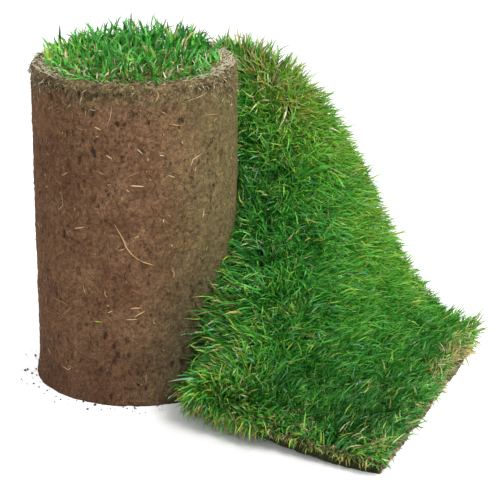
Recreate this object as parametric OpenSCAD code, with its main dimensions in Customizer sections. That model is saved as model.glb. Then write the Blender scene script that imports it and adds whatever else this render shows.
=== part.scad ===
// Roll of turf standing on its end, with the loose tail of its outer turn fallen open.
// The strip is wound with its grass inside, so the roll shows soil and the tail shows grass.
// Origin: centre of the roll's base. +Z runs up the roll's axis, and the tail lies towards +X.

/* [Turf strip] */
// Width of the strip, which is the height of the standing roll
strip_w = 400; // [300:5:600]
// Thickness of the soil and root mat
sod_t = 18; // [12:1:26]
// Thickness of the grass pressed flat between two turns
pressed_grass_t = 6.5; // [3:0.5:10]

/* [Roll] */
// Outer diameter of the roll
roll_d = 250; // [210:5:320]
// Diameter of the hollow inside the innermost turn
bore_d = 44; // [30:2:60]
// Radius to which the soil has crumbled at the roll's top rim
rim_r = 9; // [3:1:14]
// How far the roll's foot has spread on the floor
foot_spread = 4; // [0:1:10]
// Height up to which the foot has spread
foot_h = 40; // [15:5:80]
// Depth to which the seam between the turns shows on the roll's base
seam_depth = 6; // [2:1:15]

/* [Loose tail] */
// Angle round the roll, from +X, where the strip's top edge comes away
peel_top = 80; // [60:1:95]
// Angle round the roll, from +X, where the strip's bottom edge comes away
peel_bottom = -54; // [-65:1:-25]
// Distance from the roll's axis to the cut end of the tail
tail_reach = 382; // [330:2:460]
// Angle from +X in which the cut end lies
tail_heading = -20.5; // [-35:0.5:0]
// Steepest slope at which the strip falls away from the roll
fall_angle = 40; // [20:1:55]
// Angle from straight outward at which the bottom edge comes away
bottom_turn = 34; // [0:1:50]
// Height to which the bottom edge is lifted off the floor beside the roll
edge_lift = 10; // [0:1:20]

/* [Grass] */
// Height of the standing grass on the tail
grass_h = 18; // [12:1:40]
// How far the grass leans out past the strip's edges
grass_lean = 7; // [0:1:20]
// Height to which the grass stands out of the roll's top end
crown_h = 18; // [12:1:45]

/* [Hidden] */

roll_r = roll_d / 2;
bore_r = bore_d / 2;
foot_r = roll_r + foot_spread;
turn_pitch = sod_t + pressed_grass_t;
// The seam winds in from the outer turn's grass face to the innermost turn's soil face
seam_turns = (roll_r - sod_t - pressed_grass_t - bore_r - sod_t) / turn_pitch;
seam_step = 10;
cut_past = 1;
round_sides = 96;
rim_steps = 6;
foot_steps = 5;

// The tail starts inside the roll's outer turn, so strip and roll are one piece
root_depth = 6;
root_drop = 2;
tail_rows = 14;
tail_columns = 22;
slope_step = 0.002;
// Shares of each row's span that shape its leaving, its crest, its knee and its flat end.
// A pair holds the bottom edge's share and the top edge's share.
leave_share = [0.24, 0.26];
crest_share = [0.24, 0.30];
crest_height = [0.50, 1.02];
knee_share = [0.55, 0.60];
knee_tuck = 0.10;
knee_height = [0.10, 0.38];
flat_share = 0.20;
// Pull of one control point that lifts the bottom edge, and how soon it fades towards the top edge
lift_pull = 1.9;
lift_fade = 4;
// Columns of the tail that lie before the grass starts
bare_columns = 4;

// Least room that the grass keeps from the roll beside it, and that it starts with
grass_clearance = 1;
grass_start_room = 6;
crown_round = 0.8;
crown_steps = 8;
crown_r = roll_r - sod_t;

soil_colour = [0.44, 0.32, 0.23];
grass_colour = [0.20, 0.50, 0.12];

function unit(v) = v / norm(v);
function mix(a, b, share) = a * (1 - share) + b * share;
function flat_radius(p) = norm([p[0], p[1]]);
function at_height(p, z) = [p[0], p[1], z];
function row_value(pair, k) = mix(pair[0], pair[1], k);

// Bezier curve through a list of control points, at u from 0 to 1
function bezier(points, u) = len(points) == 1
    ? points[0]
    : bezier([for (i = [0 : len(points) - 2]) mix(points[i], points[i + 1], u)], u);

// Point of the cut end at share k of the strip's width, from bottom edge to top edge
heading = [cos(tail_heading), sin(tail_heading), 0];
end_edge = [-sin(tail_heading), cos(tail_heading), 0];
function cut_end(k) = heading * tail_reach + end_edge * strip_w * (k - 0.5);

// One lengthwise row of the strip's soil face, from inside the roll to the cut end.
// The top row leaves along the roll and the bottom row folds out from it.
function row_controls(k) =
    let (
        peel = mix(peel_bottom, peel_top, k),
        outward = [cos(peel), sin(peel), 0],
        turn = peel - mix(bottom_turn, 90, k),
        fall = fall_angle * sin(180 * k),
        leave = [cos(turn) * cos(fall), sin(turn) * cos(fall), -sin(fall)],
        root = outward * (roll_r - root_depth) + [0, 0, k * (strip_w - root_drop)],
        end = cut_end(k),
        span = norm(end - root),
        raised = [0, 0, edge_lift * lift_pull * pow(1 - k, lift_fade)],
        lift = root + leave * span * row_value(leave_share, k) + raised,
        crest = at_height(mix(lift, end, row_value(crest_share, k)), lift[2] * row_value(crest_height, k)),
        knee = at_height(mix(lift, end, row_value(knee_share, k)) - heading * span * knee_tuck,
                         lift[2] * row_value(knee_height, k)),
        flat = end - heading * span * flat_share
    )
    [root, lift, crest, knee, flat, end];

function soil_point(k, u) = bezier(row_controls(k), u);

// Unit normal of the strip on its grass side
function along_strip(k, u) =
    soil_point(k, min(1, u + slope_step)) - soil_point(k, max(0, u - slope_step));
function across_strip(k, u) =
    soil_point(min(1, k + slope_step), u) - soil_point(max(0, k - slope_step), u);
function grass_normal(k, u) = unit(cross(along_strip(k, u), across_strip(k, u)));
function grass_face(k, u) = soil_point(k, u) + grass_normal(k, u) * sod_t;

// Place along one row where its grass face comes clear of the roll, found by halving
function clear_start(k, near = 0, far = 0.5, halvings = 14) =
    let (middle = (near + far) / 2)
    halvings == 0 ? far
    : flat_radius(grass_face(k, middle)) > foot_r + grass_start_room
        ? clear_start(k, near, middle, halvings - 1)
        : clear_start(k, middle, far, halvings - 1);

// Grid of the tail: rows across the strip, and columns that stay bare up to the grass
function row_share(i) = i / tail_rows;
function column_place(k, j) =
    let (start = clear_start(k))
    j <= bare_columns
        ? start * j / bare_columns
        : mix(start, 1, (j - bare_columns) / (tail_columns - bare_columns));

// Height of the grass at one place, cut short where the roll stands in its way
function room_to_roll(p, n) =
    let (
        a = n[0] * n[0] + n[1] * n[1],
        b = p[0] * n[0] + p[1] * n[1],
        c = pow(flat_radius(p), 2) - pow(foot_r + grass_clearance, 2),
        d = b * b - a * c
    )
    (b >= 0 || d <= 0) ? grass_h : (-b - sqrt(d)) / a;
function grass_height(k, u) = min(grass_h, room_to_roll(grass_face(k, u), grass_normal(k, u)));

// How far the grass tips lean past the three free edges
function edge_lean(i, j) =
    let (k = row_share(i), u = column_place(k, j))
    unit(across_strip(k, u)) * grass_lean * (i == tail_rows ? 1 : i == 0 ? -1 : 0)
    + unit(along_strip(k, u)) * grass_lean * (j == tail_columns ? 1 : 0);

// Closed slab between two grids of points with the same rows and columns
module slab(lower, upper) {
    rows = len(lower);
    columns = len(lower[0]);
    last = columns - 1;
    count = rows * columns;
    points = [for (grid = [lower, upper]) for (row = grid) for (p = row) p];
    function at(i, j, side) = side * count + i * columns + j;
    function quad(a, b, c, d) = [[a, b, c], [a, c, d]];
    skins = [
        for (i = [0 : rows - 2]) for (j = [0 : columns - 2]) each concat(
            quad(at(i, j, 0), at(i, j + 1, 0), at(i + 1, j + 1, 0), at(i + 1, j, 0)),
            quad(at(i, j, 1), at(i + 1, j, 1), at(i + 1, j + 1, 1), at(i, j + 1, 1)))
    ];
    row_walls = [
        for (j = [0 : columns - 2]) each concat(
            quad(at(0, j, 0), at(0, j, 1), at(0, j + 1, 1), at(0, j + 1, 0)),
            quad(at(rows - 1, j, 0), at(rows - 1, j + 1, 0), at(rows - 1, j + 1, 1), at(rows - 1, j, 1)))
    ];
    column_walls = [
        for (i = [0 : rows - 2]) each concat(
            quad(at(i, 0, 0), at(i + 1, 0, 0), at(i + 1, 0, 1), at(i, 0, 1)),
            quad(at(i, last, 0), at(i, last, 1), at(i + 1, last, 1), at(i + 1, last, 0)))
    ];
    polyhedron(points, concat(skins, row_walls, column_walls));
}

// Solid roll with its bore, its spread foot and its crumbled top rim
module rolled_turns() {
    foot = [
        for (s = [0 : foot_steps]) let (share = s / foot_steps)
        [roll_r + foot_spread * pow(1 - share, 2), foot_h * share]
    ];
    top_rim = [
        for (s = [0 : rim_steps]) let (a = 90 * s / rim_steps)
        [roll_r - rim_r + rim_r * cos(a), strip_w - rim_r + rim_r * sin(a)]
    ];
    rotate_extrude($fn = round_sides)
        polygon(concat([[bore_r, 0]], foot, top_rim, [[bore_r, strip_w]]));
}

// Spiral seam between the turns, winding in from where the tail comes away.
// On the top end the standing grass hides it.
module turn_seam() {
    sweep = [for (a = [0 : seam_step : 360 * seam_turns]) a];
    function seam_point(a, r) = (r - turn_pitch * a / 360) * [cos(peel_top + a), sin(peel_top + a)];
    outer_side = [for (a = sweep) seam_point(a, roll_r - sod_t)];
    inner_side = [for (i = [len(sweep) - 1 : -1 : 0]) seam_point(sweep[i], roll_r - turn_pitch)];
    translate([0, 0, -cut_past])
        linear_extrude(seam_depth + cut_past)
        polygon(concat(outer_side, inner_side));
}

// Loose length of the strip, from the slanting line where it leaves the roll to its cut end
module loose_tail() {
    grid = [
        for (i = [0 : tail_rows]) let (k = row_share(i))
        [for (j = [0 : tail_columns]) [k, column_place(k, j)]]
    ];
    slab([for (row = grid) [for (p = row) soil_point(p[0], p[1])]],
         [for (row = grid) [for (p = row) grass_face(p[0], p[1])]]);
}

// Soil and root mat: the rolled turns and the tail, one continuous strip
module sod() {
    color(soil_colour) union() {
        difference() {
            rolled_turns();
            turn_seam();
        }
        loose_tail();
    }
}

// Grass standing on the tail's open face
module tail_grass() {
    lower = [
        for (i = [0 : tail_rows]) let (k = row_share(i)) [
            for (j = [bare_columns : tail_columns]) grass_face(k, column_place(k, j))
        ]
    ];
    upper = [
        for (i = [0 : tail_rows]) let (k = row_share(i)) [
            for (j = [bare_columns : tail_columns]) let (u = column_place(k, j))
            grass_face(k, u) + grass_normal(k, u) * grass_height(k, u) + edge_lean(i, j)
        ]
    ];
    slab(lower, upper);
}

// Grass of the inner turns standing out of the roll's top end
module end_grass() {
    round_h = crown_h * crown_round;
    dome = [
        for (s = [0 : crown_steps]) let (a = 90 * s / crown_steps)
        [crown_r - crown_h + crown_h * cos(a), crown_h - round_h + round_h * sin(a)]
    ];
    translate([0, 0, strip_w])
        rotate_extrude($fn = round_sides)
        polygon(concat([[0, 0], [crown_r, 0]], dome, [[0, crown_h]]));
}

module grass() {
    color(grass_colour) {
        tail_grass();
        end_grass();
    }
}

sod();
grass();
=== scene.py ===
# %% [markdown]
# A roll of turf stands on its end, soil outward, with its last turn fallen open so that
# the grass shows. The solid model is loaded first and stays as it is: every piece below
# is laid over it in the same frame, in metres, with +Z up the roll's axis and the loose
# tail towards +X.

# %% Load the solid model
import math
from types import SimpleNamespace

import bpy
import numpy as np
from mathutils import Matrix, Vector, noise


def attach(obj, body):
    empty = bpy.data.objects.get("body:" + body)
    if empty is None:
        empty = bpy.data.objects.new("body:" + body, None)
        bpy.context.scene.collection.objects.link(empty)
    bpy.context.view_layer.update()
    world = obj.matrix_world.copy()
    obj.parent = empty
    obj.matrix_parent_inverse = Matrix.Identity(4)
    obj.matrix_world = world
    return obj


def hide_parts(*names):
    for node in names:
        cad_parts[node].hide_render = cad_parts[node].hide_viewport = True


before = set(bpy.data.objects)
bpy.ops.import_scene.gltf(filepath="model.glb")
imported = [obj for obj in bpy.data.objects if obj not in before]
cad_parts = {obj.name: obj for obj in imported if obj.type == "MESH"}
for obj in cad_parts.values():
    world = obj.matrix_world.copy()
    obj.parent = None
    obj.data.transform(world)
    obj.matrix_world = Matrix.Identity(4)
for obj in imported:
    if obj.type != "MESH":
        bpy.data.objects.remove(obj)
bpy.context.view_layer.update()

# %% [markdown]
# The camera stands in front of the roll, a little to its right, and looks down at about
# nineteen degrees through a long lens. It could be placed by eye, but here its place and
# lens come from fitting the outlines of the roll's two round ends, so no shift is needed.

# %% Camera
camera_place = (0.136975, -2.461556, 1.017274)
look_down = 19.0035
camera = bpy.data.objects.new("camera", bpy.data.cameras.new("camera"))
bpy.context.scene.collection.objects.link(camera)
camera.location = camera_place
camera.rotation_euler = (math.radians(90 - look_down), 0, 0)
camera.data.sensor_width = 36
camera.data.lens = 152.18
bpy.context.scene.camera = camera
print("camera:", [round(v, 3) for v in camera.location], "lens", round(camera.data.lens, 1), "mm")

# %% [markdown]
# Plain studio light: a broad soft lamp above and to the right, and a weaker one from the
# left front. A sun or a small lamp would cut hard shadows between the blades; wide discs
# keep them soft. Both are weak enough for a colour to render about as it is written.

# %% Lamps
bpy.context.scene.view_settings.view_transform = "Standard"


def soft_lamp(name, place, aim, size, watts):
    """A round lamp at one place that faces another."""
    lamp = bpy.data.lights.new(name, "AREA")
    lamp.shape = "DISK"
    lamp.size = size
    lamp.energy = watts
    ob = bpy.data.objects.new(name, lamp)
    bpy.context.scene.collection.objects.link(ob)
    ob.location = place
    ob.rotation_euler = (Vector(aim) - Vector(place)).to_track_quat("-Z", "Y").to_euler()
    print(name, watts, "W,", size, "m across")


soft_lamp("key_lamp", (1.5, -1.1, 2.1), (0.1, -0.05, 0.2), 1.1, 62)
soft_lamp("fill_lamp", (-1.5, -1.9, 1.3), (0, 0, 0.2), 1.4, 17)

# %% [markdown]
# Materials and the room's light are trees of nodes, joined by links between sockets. They
# can be drawn by hand in the shader editor; here a few helpers add a node, stretch a number
# from one range to another and do sums, so that each finish below stays short to read.

# %% Helpers for nodes
def add_node(tree, kind, settings=(), **values):
    """A new node with its settings, and with values for its sockets."""
    node = tree.nodes.new(kind)
    for name, value in dict(settings).items():
        setattr(node, name, value)
    for name, value in values.items():
        node.inputs[name.replace("_", " ")].default_value = value
    return node


def spread(tree, source, low, high, to_low=0.0, to_high=1.0):
    """A number stretched smoothly from one range to another."""
    node = add_node(tree, "ShaderNodeMapRange", {"interpolation_type": "SMOOTHSTEP"})
    for name, value in (("From Min", low), ("From Max", high), ("To Min", to_low), ("To Max", to_high)):
        node.inputs[name].default_value = value
    tree.links.new(source, node.inputs["Value"])
    return node.outputs["Result"]


def maths(tree, operation, first, second):
    """Two numbers joined by a sum such as ADD or MULTIPLY."""
    node = add_node(tree, "ShaderNodeMath", {"operation": operation})
    tree.links.new(first, node.inputs[0])
    tree.links.new(second, node.inputs[1])
    return node.outputs[0]


print("helpers for nodes:", [helper.__name__ for helper in (add_node, spread, maths)])

# %% [markdown]
# The turf stands in an even white room. A brighter room would make the background white
# but wash out the object as well, so the room is white only where the camera sees it and
# gives half of that as light.

# %% White room
room_light, room_white = 0.50, 1.0


def seen_directly(tree):
    """One for what the camera sees directly, in a mirror or through glass, and nought for other light."""
    path = add_node(tree, "ShaderNodeLightPath")
    total = path.outputs["Is Camera Ray"]
    for ray in ("Is Glossy Ray", "Is Transmission Ray"):
        total = maths(tree, "MAXIMUM", total, path.outputs[ray])
    return total


room = bpy.data.worlds.new("white_room")
room.use_nodes = True
bpy.context.scene.world = room
tree = room.node_tree
glow = tree.nodes["Background"]
glow.inputs["Color"].default_value = (1, 1, 1, 1)
tree.links.new(spread(tree, seen_directly(tree), 0, 1, room_light, room_white), glow.inputs["Strength"])
print("room:", room_light, "as light,", room_white, "as seen")

# %% [markdown]
# The floor looks white because its own colour is pale and a part of its brightness is seen
# only by the camera, which leaves the object's light alone. That part fades out round the
# tail's raised bottom edge, where lamp light alone makes the floor white, so that the
# shadow under the edge stays deep.

# %% White floor
floor_size, floor_drop = 9, 0.0003
floor_bounce, floor_paint = 0.62, 0.87
under_edge = (0.14, -0.24, 0)
bpy.ops.mesh.primitive_plane_add(size=floor_size, location=(0, 0, -floor_drop))
floor = bpy.context.object
floor.name = "floor"
pale = bpy.data.materials.new("pale_floor")
pale.use_nodes = True
tree = pale.node_tree
tree.nodes.clear()
seen = seen_directly(tree)
paint = add_node(tree, "ShaderNodeBsdfDiffuse")
tree.links.new(spread(tree, seen, 0, 1, floor_bounce, floor_paint), paint.inputs["Color"])
from_edge = add_node(tree, "ShaderNodeVectorMath", {"operation": "DISTANCE"})
from_edge.inputs[1].default_value = under_edge
tree.links.new(add_node(tree, "ShaderNodeTexCoord").outputs["Object"], from_edge.inputs[0])
fading = spread(tree, from_edge.outputs["Value"], 0.08, 0.30, 0.01, 0.60)
shine = add_node(tree, "ShaderNodeEmission")
tree.links.new(maths(tree, "MULTIPLY", seen, fading), shine.inputs["Strength"])
both = add_node(tree, "ShaderNodeAddShader")
tree.links.new(paint.outputs[0], both.inputs[0])
tree.links.new(shine.outputs[0], both.inputs[1])
surface = add_node(tree, "ShaderNodeOutputMaterial").inputs["Surface"]
tree.links.new(both.outputs[0], surface)
floor.data.materials.append(pale)
print("floor:", floor_size, "m wide,", len(tree.nodes), "nodes")

# %% [markdown]
# The strip's sizes are repeated here in metres, because every piece follows them: how
# wide and thick the strip is, how big the roll is, and along which slanting line the tail
# leaves it. A sheet could be bent by hand or by cloth, but then it would drift from the
# solid. So the tail's soil face is the solid's own formula: Bezier rows, one for each share
# of the strip's width, which run from inside the roll to the cut end on the floor.

# %% Shape of the strip
strip_w, sod_t = 0.400, 0.018
roll_r, foot_spread = 0.125, 0.004
peel_bottom, peel_top = -54, 80
tail_reach, tail_heading = 0.382, math.radians(-20.5)
fall_angle, bottom_turn = 40, 34
edge_lift, lift_pull, lift_fade = 0.010, 1.9, 4
root_depth, root_drop = 0.006, 0.002
# Pairs of shares: the first for the bottom edge, the second for the top edge
leave_share, crest_share, knee_share = (0.24, 0.26), (0.24, 0.30), (0.55, 0.60)
crest_height, knee_height = (0.50, 1.02), (0.10, 0.38)
knee_tuck, flat_share = 0.10, 0.20
heading = np.array([math.cos(tail_heading), math.sin(tail_heading), 0])
end_edge = np.array([-math.sin(tail_heading), math.cos(tail_heading), 0])
up = np.array([0, 0, 1.0])


def mix(a, b, share):
    return a * (1 - share) + b * share


def unit(v):
    return v / np.maximum(np.linalg.norm(v, axis=-1, keepdims=True), 1e-12)


def soil_face(k, u):
    """Points of the tail's soil side: k goes from bottom edge to top edge, u from the roll to the cut end."""
    k, u = np.broadcast_arrays(np.asarray(k, float), np.asarray(u, float))
    peel = np.radians(mix(peel_bottom, peel_top, k))
    turn = peel - np.radians(mix(bottom_turn, 90, k))
    fall = np.radians(fall_angle * np.sin(np.pi * k))
    nought = np.zeros_like(k)
    k, u = k[..., None], u[..., None]
    outward = np.stack([np.cos(peel), np.sin(peel), nought], -1)
    leave = np.stack([np.cos(turn) * np.cos(fall), np.sin(turn) * np.cos(fall), -np.sin(fall)], -1)
    root = outward * (roll_r - root_depth) + up * k * (strip_w - root_drop)
    end = heading * tail_reach + end_edge * strip_w * (k - 0.5)
    span = np.linalg.norm(end - root, axis=-1, keepdims=True)
    raised = up * edge_lift * lift_pull * (1 - k) ** lift_fade
    lift = root + leave * span * mix(*leave_share, k) + raised
    crest = mix(lift, end, mix(*crest_share, k))
    crest[..., 2:] = lift[..., 2:] * mix(*crest_height, k)
    knee = mix(lift, end, mix(*knee_share, k)) - heading * span * knee_tuck
    knee[..., 2:] = lift[..., 2:] * mix(*knee_height, k)
    flat = end - heading * span * flat_share
    row = [root, lift, crest, knee, flat, end]
    while len(row) > 1:
        row = [mix(a, b, u) for a, b in zip(row, row[1:])]
    return row[0]


fine = np.linspace(0, 1, 60)
five_rows = np.linspace(0, 1, 5)
lengths = [np.linalg.norm(np.diff(soil_face(k, fine), axis=0), axis=1).sum() for k in five_rows]
print("lengths of tail rows, bottom to top:", np.round(lengths, 3), "m")

# %% [markdown]
# Much below has to know which way the strip faces at a place, and where its grass side
# comes clear of the roll. Blender could tell it from a finished mesh; asking the formula
# is exact and works before any mesh is made.

# %% Directions on the strip
slope_step = 0.002
room_to_roll = 0.004


def strip_frame(k, u):
    """Unit vectors of the tail at a place: along the strip, across it, and out of its grass side."""
    along = soil_face(k, np.minimum(1, u + slope_step)) - soil_face(k, np.maximum(0, u - slope_step))
    across = soil_face(np.minimum(1, k + slope_step), u) - soil_face(np.maximum(0, k - slope_step), u)
    return unit(along), unit(across), unit(np.cross(along, across))


def grass_face(k, u):
    return soil_face(k, u) + strip_frame(k, u)[2] * sod_t


def clear_start(k):
    """Where along each row the grass side comes clear of the roll, found by halving."""
    near, far = np.zeros_like(k), np.full_like(k, 0.5)
    for _ in range(14):
        middle = (near + far) / 2
        radius = np.hypot(*np.moveaxis(grass_face(k, middle)[..., :2], -1, 0))
        free = radius > roll_r + foot_spread + room_to_roll
        far, near = np.where(free, middle, far), np.where(free, near, middle)
    return far


print("grass comes clear of the roll at shares", np.round(clear_start(five_rows), 3))

# %% [markdown]
# Cut soil is pressed smooth by the blade that lifted it, but it keeps low lumps, crumbs
# that have fallen out and short upright cracks. Such relief could be left to a bump map;
# here it moves the mesh itself, so that the outline is rough as well. The same functions
# are asked again later, so that roots and straws lie on the soil and not in or over it.

# %% Soil relief
def noise_at(points, scale, shift=0.0, stretch=(1, 1, 1)):
    """Smooth noise from -1 to 1 at many points; scale is in waves per metre."""
    moved = np.asarray(points) * np.asarray(stretch) * scale + shift * np.array([1.7, 2.9, 0.6])
    return np.array([noise.noise(Vector(p)) for p in moved])


def ease(low, high, x):
    """Rises smoothly from nought at low to one at high, or falls where high is the lesser."""
    t = np.clip((x - low) / (high - low), 0, 1)
    return t * t * (3 - 2 * t)


def soil_relief(points):
    """Height in metres over the plain soil face, and how deep in a pit or crack each point lies, which is
    later painted as shade.
    """
    lumps = noise_at(points, 22)
    clods = noise_at(points, 66, 3)
    crumbs = noise_at(points, 185, 7)
    pits = ease(0.32, 0.62, noise_at(points, 150, 11, (1, 1, 0.6))) * ease(-0.3, 0.3, noise_at(points, 17, 5))
    upright = np.abs(noise_at(points, 62, 13, (1, 1, 0.4)))
    cracks = ease(0.06, 0.0, upright) * ease(0.05, 0.4, noise_at(points, 15, 17))
    height = 0.0010 * lumps + 0.0006 * clods + 0.0007 * crumbs - 0.0016 * pits - 0.0011 * cracks
    return height, np.clip(0.75 * pits + 0.55 * cracks + 0.25 * np.maximum(0, -crumbs), 0, 1)


trial = np.array([[0.1, 0, 0.1], [0, 0.12, 0.2]])
print("relief of two points, mm:", np.round(soil_relief(trial)[0] * 1000, 2))

# %% [markdown]
# Every piece starts as an array of points and an array of faces. Blender's own tools and
# modifiers could build them one step at a time; whole arrays are much faster for this many
# points.

# %% Helpers for meshes
def mesh_from(name, points, *faces):
    """A mesh from an array of points and one array of corner numbers for each kind of face."""
    mesh = bpy.data.meshes.new(name)
    mesh.vertices.add(len(points))
    mesh.vertices.foreach_set("co", np.asarray(points, np.float32).ravel())
    corners = np.concatenate([f.ravel() for f in faces]).astype(np.int32)
    sizes = np.concatenate([np.full(len(f), f.shape[1]) for f in faces])
    mesh.loops.add(len(corners))
    mesh.loops.foreach_set("vertex_index", corners)
    mesh.polygons.add(len(sizes))
    mesh.polygons.foreach_set("loop_start", np.concatenate([[0], np.cumsum(sizes)[:-1]]).astype(np.int32))
    mesh.update(calc_edges=True)
    mesh.validate()
    mesh.shade_smooth()
    return mesh


def skin_quads(sheet, flip):
    """Faces between the neighbours in a grid of point numbers; flip turns them over."""
    a, b, c, d = sheet[:-1, :-1], sheet[:-1, 1:], sheet[1:, 1:], sheet[1:, :-1]
    order = (a, d, c, b) if flip else (a, b, c, d)
    return np.stack(order, -1).reshape(-1, 4)


print("faces of a grid of 3 by 3 points:", len(skin_quads(np.arange(9).reshape(3, 3), False)))

# %% [markdown]
# A mesh is then shaped point by point, and marked with numbers that its material can read,
# such as how deep in a pit a point lies. A Displace modifier could move the points as well,
# but the array is at hand. A finished piece gets its material and the body that it moves with.

# %% Helpers for pieces
def point_normals(mesh):
    """Directions straight out of the mesh at its points."""
    normals = np.empty(len(mesh.vertices) * 3, np.float32)
    mesh.vertex_normals.foreach_get("vector", normals)
    return normals.reshape(-1, 3)


def move_points(mesh, points):
    """Puts a mesh's points at new places, none of them below the floor."""
    points[:, 2] = np.maximum(points[:, 2], 0)
    mesh.vertices.foreach_set("co", points.astype(np.float32).ravel())
    mesh.update()


def mark(mesh, name, values):
    """Keeps one number a point on the mesh, for its material to read."""
    mesh.attributes.new(name, "FLOAT", "POINT").data.foreach_set("value", np.asarray(values, np.float32))


def add_piece(mesh, slot, material):
    """Puts a mesh into the scene as a piece of the turf."""
    mesh.materials.append(material)
    ob = bpy.data.objects.new(mesh.name, mesh)
    bpy.context.scene.collection.objects.link(ob)
    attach(ob, "root")
    mesh.calc_loop_triangles()
    print(mesh.name, len(mesh.loop_triangles), "triangles")
    return ob


print("helpers for pieces:", [helper.__name__ for helper in (point_normals, move_points, mark, add_piece)])

# %% [markdown]
# Colours are written as they look on screen, which is how people pick them, and turned into
# the values that shaders use. A finish starts from one shader with its own roughness and
# gloss, and colours can be read off along a number or laid over each other like coats.

# %% Helpers for colour
def linear(red, green, blue):
    """A colour picked as it looks on screen, 0 to 255, turned into the linear values that shaders use."""
    share = np.array([red, green, blue]) / 255
    return tuple(np.where(share <= 0.04045, share / 12.92, ((share + 0.055) / 1.055) ** 2.4)) + (1.0,)


def grey(value):
    return (value, value, value, 1)


def new_finish(name, roughness, gloss):
    """A new material, with its tree of nodes and its shader."""
    material = bpy.data.materials.new(name)
    material.use_nodes = True
    shader = material.node_tree.nodes["Principled BSDF"]
    shader.inputs["Roughness"].default_value = roughness
    shader.inputs["Specular IOR Level"].default_value = gloss
    return material, material.node_tree, shader


def ramp(tree, source, *stops):
    """Colours read off along a number; each stop is a place and a colour."""
    node = add_node(tree, "ShaderNodeValToRGB")
    marks = node.color_ramp.elements
    while len(marks) < len(stops):
        marks.new(0.5)
    for element, (place, colour) in zip(marks, stops):
        element.position = place
        element.color = colour
    tree.links.new(source, node.inputs["Fac"])
    return node.outputs["Color"]


def blend(tree, kind, share, under, over):
    """Two colours laid over each other; share, under and over are sockets or plain values."""
    node = add_node(tree, "ShaderNodeMix", {"data_type": "RGBA", "blend_type": kind})
    for socket, value in ((node.inputs[0], share), (node.inputs[6], under), (node.inputs[7], over)):
        if hasattr(value, "node"):
            tree.links.new(value, socket)
        else:
            socket.default_value = value
    return node.outputs[2]


print("a soil brown in linear values:", np.round(linear(119, 88, 62), 3))

# %% [markdown]
# Soil and thatch are mottled at many scales. Pictures of soil could be wrapped round the
# pieces, but noise in the object's own coordinates has no seams and holds from every side.
# The same noise can roughen the surface as a bump, for grain too fine for the mesh.

# %% Helpers for mottling
def cloud(tree, place, scale, detail, roughness=0.6, twist=0.0):
    """Noise at a place; scale is in waves per metre."""
    node = add_node(tree, "ShaderNodeTexNoise", Scale=scale, Detail=detail, Roughness=roughness)
    node.inputs["Distortion"].default_value = twist
    tree.links.new(place, node.inputs["Vector"])
    return node.outputs["Fac"]


def read_mark(tree, name):
    return add_node(tree, "ShaderNodeAttribute", {"attribute_name": name}).outputs["Fac"]


def add_bump(tree, shader, height, strength, distance):
    """Roughens a surface by a number that stands for its height; distance is in metres."""
    bumps = add_node(tree, "ShaderNodeBump", Strength=strength, Distance=distance)
    tree.links.new(height, bumps.inputs["Height"])
    tree.links.new(bumps.outputs["Normal"], shader.inputs["Normal"])


print("helpers for mottling:", [helper.__name__ for helper in (cloud, read_mark, add_bump)])

# %% [markdown]
# The soil is moist loam in several browns, mottled at the scale of a hand. It is redder on
# the left; an olive tint on the right is painted green light bounced from the grass, and dark
# olive low down beside the grass is painted shade. It is darker near the floor and
# straw-coloured along the top rim. These changes could be painted on each piece; here they
# follow the place in the room, so that roll and tail agree where they meet.

# %% Soil colours
loam, tree, skin = new_finish("moist_loam", roughness=0.93, gloss=0.25)
place = add_node(tree, "ShaderNodeTexCoord").outputs["Object"]
axes = add_node(tree, "ShaderNodeSeparateXYZ")
tree.links.new(place, axes.inputs[0])
tall = add_node(tree, "ShaderNodeMapping", {"vector_type": "POINT"}, Scale=(1, 1, 0.72)).outputs["Vector"]
tree.links.new(place, tall.node.inputs["Vector"])
reds = (0.32, linear(105, 72, 49)), (0.50, linear(119, 88, 62)), (0.68, linear(134, 101, 73))
brown = ramp(tree, cloud(tree, place, 16, 5), *reds)
# Painted reflection: an olive tint on the right for green light bounced from the grass
painted_green_bounce = spread(tree, axes.outputs["X"], 0.01, 0.125, 0.0, 0.85)
brown = blend(tree, "MIX", painted_green_bounce, brown, linear(117, 107, 68))
to_left = spread(tree, axes.outputs["X"], -0.125, -0.04, 0.45, 0.0)
brown = blend(tree, "MIX", to_left, brown, linear(106, 68, 42))
low_down = spread(tree, axes.outputs["Z"], 0.0, 0.13, 0.62, 0.0)
brown = blend(tree, "MULTIPLY", low_down, brown, linear(196, 190, 190))
# Painted shade: dark olive low on the right, beside the grass
painted_shade_side = spread(tree, axes.outputs["X"], -0.03, 0.10)
painted_shade_foot = spread(tree, axes.outputs["Z"], 0.05, 0.25, 1.0, 0.0)
brown = blend(tree, "MIX", maths(tree, "MULTIPLY", painted_shade_side, painted_shade_foot), brown, linear(72, 69, 46))
khaki = (0.32, linear(70, 58, 38)), (0.50, linear(116, 102, 68)), (0.68, linear(170, 154, 112))
thatchy = ramp(tree, cloud(tree, tall, 300, 3, 0.7), *khaki)
brown = blend(tree, "MIX", read_mark(tree, "thatch"), brown, thatchy)
print("soil colours:", len(tree.nodes), "nodes")
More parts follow.
